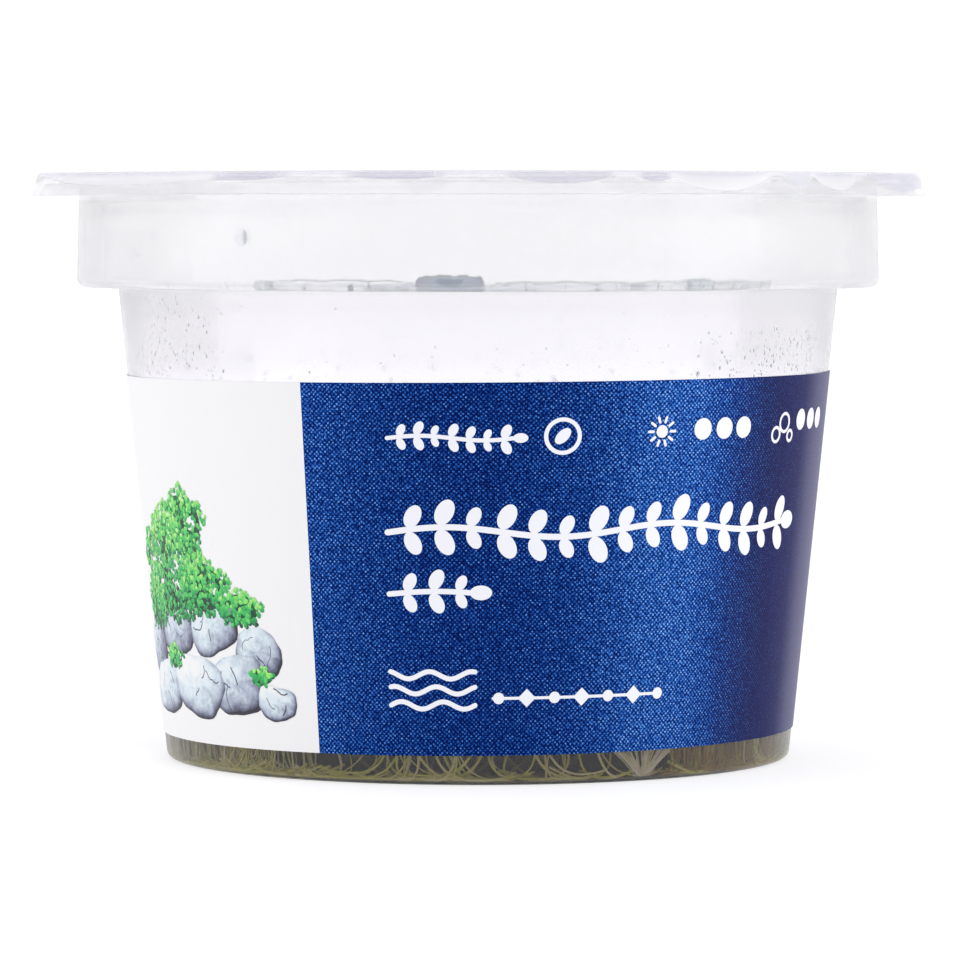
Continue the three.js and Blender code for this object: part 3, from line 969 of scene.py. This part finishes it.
# The print is drawn flat, in millimetres, as shapes that are then wrapped round the label
printPlan = {
    "ink": 0.015,            # how thick the ink lies, and how high over the film its top is
    "inkTop": 0.02,
    "stroke": 0.42,
    "row": 35.6,             # height of the row of small marks
    "vines": [
        # left and right end, height, sway, leaf, spacing, stem
        (-9.0, 3.6, 35.6, 0.25, 1.5, 1.72, 0.42),
        (-9.2, 38.4, 26.0, 0.55, 2.9, 3.15, 0.62), (-9.2, -0.6, 19.7, 0.3, 2.3, 2.7, 0.55),
    ],
    "seed": 8.4,             # places along the row
    "sun": 19.0,
    "rays": 10,
    "bubbles": [(35.4, -0.5, 0.75), (37.0, 0.7, 0.95), (38.3, -0.7, 0.55)],   # across, above the row, radius
    "dots": [
        # across, up, radius
        (23.99, 36.08, 1.12), (26.89, 36.08, 1.12), (29.69, 36.08, 1.12),
        (40.8, 36.5, 1.12), (43.7, 36.5, 1.12), (46.5, 36.5, 1.12),
    ],
    "ripples": (-9.3, 8.3, 1.55),             # left end, lowest one, height from one to the next
    "beads": (1.6, 9.0, 3.0),                 # left end of their string, height, spacing
}


def newSheet():
    return {"points": [], "faces": [], "tones": [], "shapes": 0}


def drawShape(sheet, points, faces, tones, lift=None):
    if lift is None:         # shapes that overlap lie on each other
        lift = 0.001 * (sheet["shapes"] % 16)
    sheet["faces"] += countOn(faces, len(sheet["points"]))
    sheet["points"] += [(x, y, labelShape["thickness"] + printPlan["inkTop"] + lift) for x, y in points]
    sheet["tones"] += tones
    sheet["shapes"] += 1


# A point across and up from a middle, on axes turned by an angle
def turned(middle, across, up, turn):
    return (middle[0] + across * math.cos(turn) - up * math.sin(turn),
            middle[1] + across * math.sin(turn) + up * math.cos(turn))


# Faces round a middle point, and on from each ring to the next one out
def fromMiddle(sides, rings=1):
    faces = [[0, 1 + i, 1 + (i + 1) % sides] for i in range(sides)]
    for first in range(1, 1 + (rings - 1) * sides, sides):
        for i in range(sides):
            here, after = first + i, first + (i + 1) % sides
            faces.append([here, here + sides, after + sides, after])
    return faces


def drawOval(sheet, x, y, width, height, turn=0.0, tone=1.0, sides=20, shade=0.0, lift=None):
    points = [(x, y)]
    tones = [tone]
    for i in range(sides):
        angle = 2 * math.pi * i / sides
        points.append(turned((x, y), width / 2 * math.cos(angle), height / 2 * math.sin(angle), turn))
        tones.append(tone + shade * math.sin(angle + turn))
    drawShape(sheet, points, fromMiddle(sides), tones, lift)


def drawLine(sheet, route, width, tone=1.0, lift=None):
    points = []
    for i, (x, y) in enumerate(route):
        before = route[max(0, i - 1)]
        after = route[min(len(route) - 1, i + 1)]
        angle = math.atan2(after[1] - before[1], after[0] - before[0])
        dx, dy = -math.sin(angle) * width / 2, math.cos(angle) * width / 2
        points += [(x + dx, y + dy), (x - dx, y - dy)]
    faces = [[2 * i, 2 * i + 1, 2 * i + 3, 2 * i + 2] for i in range(len(route) - 1)]
    drawShape(sheet, points, faces, [tone] * len(points), lift)
    if lift is None:         # round ends
        for x, y in (route[0], route[-1]):
            drawOval(sheet, x, y, width, width, tone=tone, sides=12)


def drawRing(sheet, x, y, radius, width, sides=32):
    points = [turned((x, y), reach, 0.0, 2 * math.pi * i / sides)
              for i in range(sides) for reach in (radius - width / 2, radius + width / 2)]
    faces = [[2 * i, 2 * i + 1, 2 * after + 1, 2 * after]
             for i, after in enumerate([*range(1, sides), 0])]
    drawShape(sheet, points, faces, [1.0] * len(points))


# A creeping stem with opposite round leaves
def drawVine(sheet, left, right, middle, sway, leaf, spacing, stem):
    def wave(x):
        return middle + sway * math.sin(2 * math.pi * (x - left) / (7.5 * spacing))

    steps = max(6, round((right - left) / 0.6))
    places = [left + (right - left) * i / steps for i in range(steps + 1)]
    drawLine(sheet, [(x, wave(x)) for x in places], stem)
    for i in range(int((right - left) / spacing)):
        x = left + spacing * (i + 0.6)
        size = leaf * (0.86 + 0.14 * math.sin(2.3 * i))
        for angle in (-math.radians(62), math.radians(62)):
            drawOval(sheet, *turned((x, wave(x)), 0.62 * size, 0.0, angle), size, 0.66 * size, angle)
    drawOval(sheet, right + 0.4 * leaf, wave(right), leaf, 0.66 * leaf)


def drawMarks():
    p = printPlan
    sheet = newSheet()
    row = p["row"]
    small, *large = p["vines"]
    drawVine(sheet, *small)
    drawRing(sheet, p["seed"], row + 0.1, 1.7, p["stroke"])           # a seed in a ring
    drawOval(sheet, p["seed"], row + 0.1, 2.0, 1.15, math.radians(45))
    sun = (p["sun"], row + 0.35)
    drawOval(sheet, *sun, 1.3, 1.3)
    for i in range(p["rays"]):
        ray = 2 * math.pi * i / p["rays"]
        drawLine(sheet, [turned(sun, reach, 0.0, ray) for reach in (1.0, 1.5)], 0.28)
    for x, above, radius in p["bubbles"]:
        drawRing(sheet, x, row + above, radius, 0.32, 24)
    for x, y, radius in p["dots"]:
        drawOval(sheet, x, y, 2 * radius, 2 * radius, sides=24)
    for vine in large:
        drawVine(sheet, *vine)
    left, low, rise = p["ripples"]
    for i in range(3):
        route = [(left + 0.3 * k, low + rise * i + 0.38 * math.sin(0.42 * k + i)) for k in range(31)]
        drawLine(sheet, route, 0.5)
    left, height, spacing = p["beads"]
    drawLine(sheet, [(left + 0.6 * k, height) for k in range(32)], 0.3)
    for k in range(7):       # round ones and pointed ones by turns
        size, sides = (1.9, 4) if k % 2 else (1.2, 16)
        drawOval(sheet, left + 0.6 + spacing * k, height, size, size, sides=sides)
    return sheet


artPlan = {
    "corner": (-57.6, 4.0),  # of the sheet of small squares that holds the washes
    "square": 0.8,
    "columns": 49,
    "rows": 40,
    "washes": [
        # soft shadows on the paper: middle across and up, width, height, how dark
        (-36.0, 11.0, 30.0, 13.0, 0.34), (-40.0, 22.0, 21.0, 17.0, 0.42), (-26.0, 15.0, 11.0, 9.0, 0.3),
    ],
    "squareness": 2.7,       # of the stones' outlines, from 2 for ovals
    "stones": [
        # middle across and up, width, height, turn, darker or paler
        (-47.6, 12.6, 7.2, 6.4, 0.3, 0.5), (-40.8, 15.0, 8.6, 6.0, -0.15, 0.62),
        (-32.6, 15.4, 8.4, 5.6, 0.2, 0.7), (-25.4, 13.2, 6.6, 4.8, -0.2, 0.6),
        (-45.4, 8.4, 9.6, 5.6, 0.1, 0.74), (-29.2, 9.6, 9.0, 6.2, 0.12, 0.62),
        (-36.6, 9.2, 10.6, 6.4, -0.12, 0.8), (-23.2, 8.0, 5.2, 3.6, -0.1, 0.72),
    ],
    "mounds": [
        # middle across and up, reach across and up, leaves
        (-41.6, 21.4, 8.0, 6.0, 1050), (-46.4, 17.4, 3.6, 3.0, 240), (-37.0, 26.2, 4.6, 3.6, 360),
        (-33.8, 19.6, 4.6, 3.2, 330), (-27.8, 17.6, 3.4, 1.9, 180), (-41.6, 11.9, 2.3, 1.2, 80),
        (-25.0, 10.7, 1.7, 1.0, 60),
    ],
    "leaf": (0.4, 0.78),
}


# Soft washes of ink, dark in the middle and gone at the edge, on one sheet of small squares
def drawWashes(sheet):
    left, low = artPlan["corner"]
    size, columns, rows = (artPlan[name] for name in ("square", "columns", "rows"))
    points = [(left + size * i, low + size * j) for j in range(rows) for i in range(columns)]
    tones = []
    for x, y in points:
        dark = 0.0
        for middle, up, width, height, deep in artPlan["washes"]:
            across, over = (x - middle) * 2 / width, (y - up) * 2 / height
            angle = math.atan2(over, across)
            ragged = 1 + 0.1 * math.sin(3 * angle + middle) + 0.06 * math.sin(7 * angle + up)
            share = max(0.0, 1 - math.hypot(across, over) / ragged)
            dark = dark + deep * share ** 1.3 * (1 - dark)
        tones.append(1.3 - dark)
    squares = [[a, a + 1, a + columns + 1, a + columns]
               for j in range(rows - 1) for a in range(j * columns, (j + 1) * columns - 1)]
    faces = [square for square in squares if min(tones[i] for i in square) < 1.29]
    used = sorted({i for face in faces for i in face})
    place = {old: new for new, old in enumerate(used)}
    drawShape(sheet, [points[i] for i in used], [[place[i] for i in face] for face in faces],
              [tones[i] for i in used], -0.016)


def drawCracks(sheet, draw, stone, lift):
    x, y, width, height = stone[:4]
    for _ in range(3):
        spot = [x + width * draw.uniform(-0.3, 0.3), y + height * draw.uniform(-0.1, 0.34)]
        way = draw.uniform(-2.6, -0.5)
        route = []
        for _ in range(draw.randint(4, 8)):
            route.append(tuple(spot))
            way += draw.uniform(-0.7, 0.7)
            spot = [spot[0] + 0.42 * math.cos(way), spot[1] + 0.42 * math.sin(way)]
        drawLine(sheet, route, draw.uniform(0.08, 0.17), draw.uniform(0.0, 0.3), lift)


# Weathered stones drawn in washes: lit from the upper left, dark where they rest on each other, and cracked
def drawStones():
    sheet = newSheet()
    draw = random.Random(8)
    drawWashes(sheet)
    rings, sides = 8, 44
    power = artPlan["squareness"]
    for n, (x, y, width, height, turn, pale) in enumerate(artPlan["stones"]):
        points, tones = [(x, y)], [pale]
        for j in range(1, rings + 1):
            share = j / rings
            for k in range(sides):
                angle = 2 * math.pi * k / sides
                square = (abs(math.cos(angle)) ** power + abs(math.sin(angle)) ** power) ** (-1 / power)
                lumps = (1 + 0.06 * math.sin(3 * angle + n) + 0.03 * math.sin(5 * angle + 2.3 * n)
                         + 0.015 * math.sin(11 * angle + n))
                reach = share * square * lumps
                across, up = width / 2 * reach * math.cos(angle), height / 2 * reach * math.sin(angle)
                points.append(turned((x, y), across, up, turn))
                facing = 0.85 * math.sin(angle) - 0.5 * math.cos(angle)
                mottle = 0.1 * math.sin(6 * share + 3 * angle + n) * math.sin(5 * angle + 2 * n)
                tones.append(pale + 0.34 * share * facing + mottle - 0.42 * share ** 7 * (1 - 0.5 * facing))
        drawShape(sheet, points, fromMiddle(sides, rings), tones, 0.003 * n)
        drawCracks(sheet, draw, artPlan["stones"][n], 0.003 * n + 0.001)
    return sheet


# Cushions of small round leaves, painted from the shade below to the light above
def drawCushions():
    sheet = newSheet()
    draw = random.Random(12)
    for x, y, across, up, count in artPlan["mounds"]:
        # the shade between the leaves
        drawOval(sheet, x, y, 1.66 * across, 1.6 * up, 0.0, 0.0, 28, 0.08, 0.0)
        for i in range(count):
            angle = draw.uniform(0, 2 * math.pi)
            lumps = 1 + 0.1 * math.sin(5 * angle) + 0.05 * math.sin(13 * angle)
            reach = math.sqrt(draw.uniform(0, 1)) * lumps
            dx, dy = reach * math.cos(angle), reach * math.sin(angle)
            level = i / count                         # later leaves are paler and lie over the others
            tone = 0.22 + 0.42 * level + 0.26 * dy + draw.uniform(-0.2, 0.2)
            size = draw.uniform(*artPlan["leaf"])
            turn = draw.uniform(0, 3.1)
            drawOval(sheet, x + across * dx, y + up * dy, size, 0.75 * size, turn, tone, 7, 0.12,
                     0.002 + 0.02 * level)
    return sheet


def printPiece(name, sheet, material, base=0.0):
    across, up, lift = np.array(sheet["points"]).T
    piece = joinShapes(name, onLabel(across, up, lift + base), sheet["faces"], sheet["tones"])
    bpy.ops.object.select_all(action="DESELECT")
    piece.select_set(True)
    bpy.context.view_layer.objects.active = piece
    thicken(piece, printPlan["ink"])
    dress(piece, material, "printed_label")


# Printing ink on the label film: flat colour from the tone of each shape, a little uneven
def makeInk(name, stops):
    material, tree = newMaterial(name)
    colour = addNode(tree, "ValToRGB", {"stops": stops}, {"Fac": unevenTone(tree, 0.7, 0.5, 4.0, 0.6)})
    addSurface(tree, {"Roughness": 0.45, "IOR": 1.45}, {"Base Color": colour})
    return material


def makePrint():
    white = makeInk("whiteInk", [(0.0, "#E2E3E9"), (0.9, "#ECEDF1")])
    grey = makeInk("greyInk", [(0.0, "#262433"), (0.25, "#62657C"), (0.5, "#A2ABBB"), (0.75, "#CFDCE2"),
                               (1.0, "#E8E8E7")])
    green = makeInk("greenInk", [(0.0, "#0A3A26"), (0.22, "#0E7A40"), (0.45, "#2BAE54"), (0.65, "#62CC62"),
                                 (0.82, "#9BDC6A"), (1.0, "#C4ECA4")])
    printPiece("print_marks", drawMarks(), white)
    printPiece("print_stones", drawStones(), grey)
    printPiece("print_leaves", drawCushions(), green, 0.02)
    print("label printed")


# A matt pale table that glows a little, so that it is as even as a light table
def makeStage():
    floor = newPiece("floor", bpy.ops.mesh.primitive_plane_add, size=16, location=(0, 0, -0.05 * mm))
    material, tree = newMaterial("paleTable")
    addSurface(tree, {"Base Color": linearColour("#A4A4A6"), "Roughness": 0.9,
                      "Emission Color": linearColour("#FFFFFF"), "Emission Strength": 0.68})
    floor.data.materials.append(material)


lighting = {
    "back": "#F7F6FB",
    "front": "#E8E7EC",      # the side the camera stands on is a little darker
    "strength": 1.06,
    "boxes": [
        # azimuth from the front, distance, width, height, middle height, strength
        (-77, 0.55, 0.42, 0.5, 0.16, 1.0),
        (75, 0.55, 0.42, 0.5, 0.16, 1.4),
    ],
}


def makeLights():
    world = bpy.data.worlds.new("studio")
    bpy.context.scene.world = world
    world.use_nodes = True
    tree = world.node_tree
    tree.nodes.clear()
    way = addNode(tree, "TexCoord").outputs["Generated"]
    back = addNode(tree, "SeparateXYZ", None, {"Vector": way}).outputs["Y"]
    share = addNode(tree, "MapRange", {"From Min": -1.0, "From Max": 0.1,
                                       "interpolation_type": "SMOOTHSTEP"}, {"Value": back})
    room = addNode(tree, "Mix", {"data_type": "RGBA", 6: linearColour(lighting["front"]),
                                 7: linearColour(lighting["back"])}, {0: share})
    seen = addNode(tree, "LightPath").outputs["Is Camera Ray"]
    colour = addNode(tree, "Mix", {"data_type": "RGBA", 7: (1, 1, 1, 1)}, {0: seen, 6: room.outputs[2]})
    light = addNode(tree, "Background", {"Strength": lighting["strength"]}, {"Color": colour.outputs[2]})
    addNode(tree, "OutputWorld", None, {"Surface": light})
    for i, (azimuth, distance, width, height, middle, strength) in enumerate(lighting["boxes"]):
        data = bpy.data.lights.new(f"softbox_{i}", "AREA")
        data.shape = "RECTANGLE"
        data.size = width
        data.size_y = height
        data.energy = strength * math.pi * width * height
        lamp = bpy.data.objects.new(f"softbox_{i}", data)
        bpy.context.scene.collection.objects.link(lamp)
        lamp.location = around(distance, math.radians(azimuth), middle)
        aim = Vector((0, 0, 0.03)) - lamp.location
        lamp.rotation_euler = aim.to_track_quat("-Z", "Y").to_euler()


view = {
    "distance": 591.4,       # from the cup's axis
    "height": 58.06,         # above the table
    "aside": 0.215,
    "down": 2.758,           # degrees
    "focal": 5500,           # in pixels of a picture of this width
    "pictureWidth": 960,
    "sensor": 36,
}


def makeCamera():
    data = bpy.data.cameras.new("camera")
    camera = bpy.data.objects.new("camera", data)
    bpy.context.scene.collection.objects.link(camera)
    data.sensor_width = view["sensor"]
    data.lens = view["focal"] * view["sensor"] / view["pictureWidth"]
    camera.location = (view["aside"] * mm, -view["distance"] * mm, view["height"] * mm)
    camera.rotation_euler = (math.radians(90 - view["down"]), 0, 0)
    bpy.context.scene.camera = camera
    bpy.context.scene.view_settings.view_transform = "Standard"


makeCamera()
makeLights()
makeStage()
makeCup()
makeFilm()
makeGel()
makePlantlets()
makeRoots()
makeWaterPieces()
makeLabel()
makePrint()
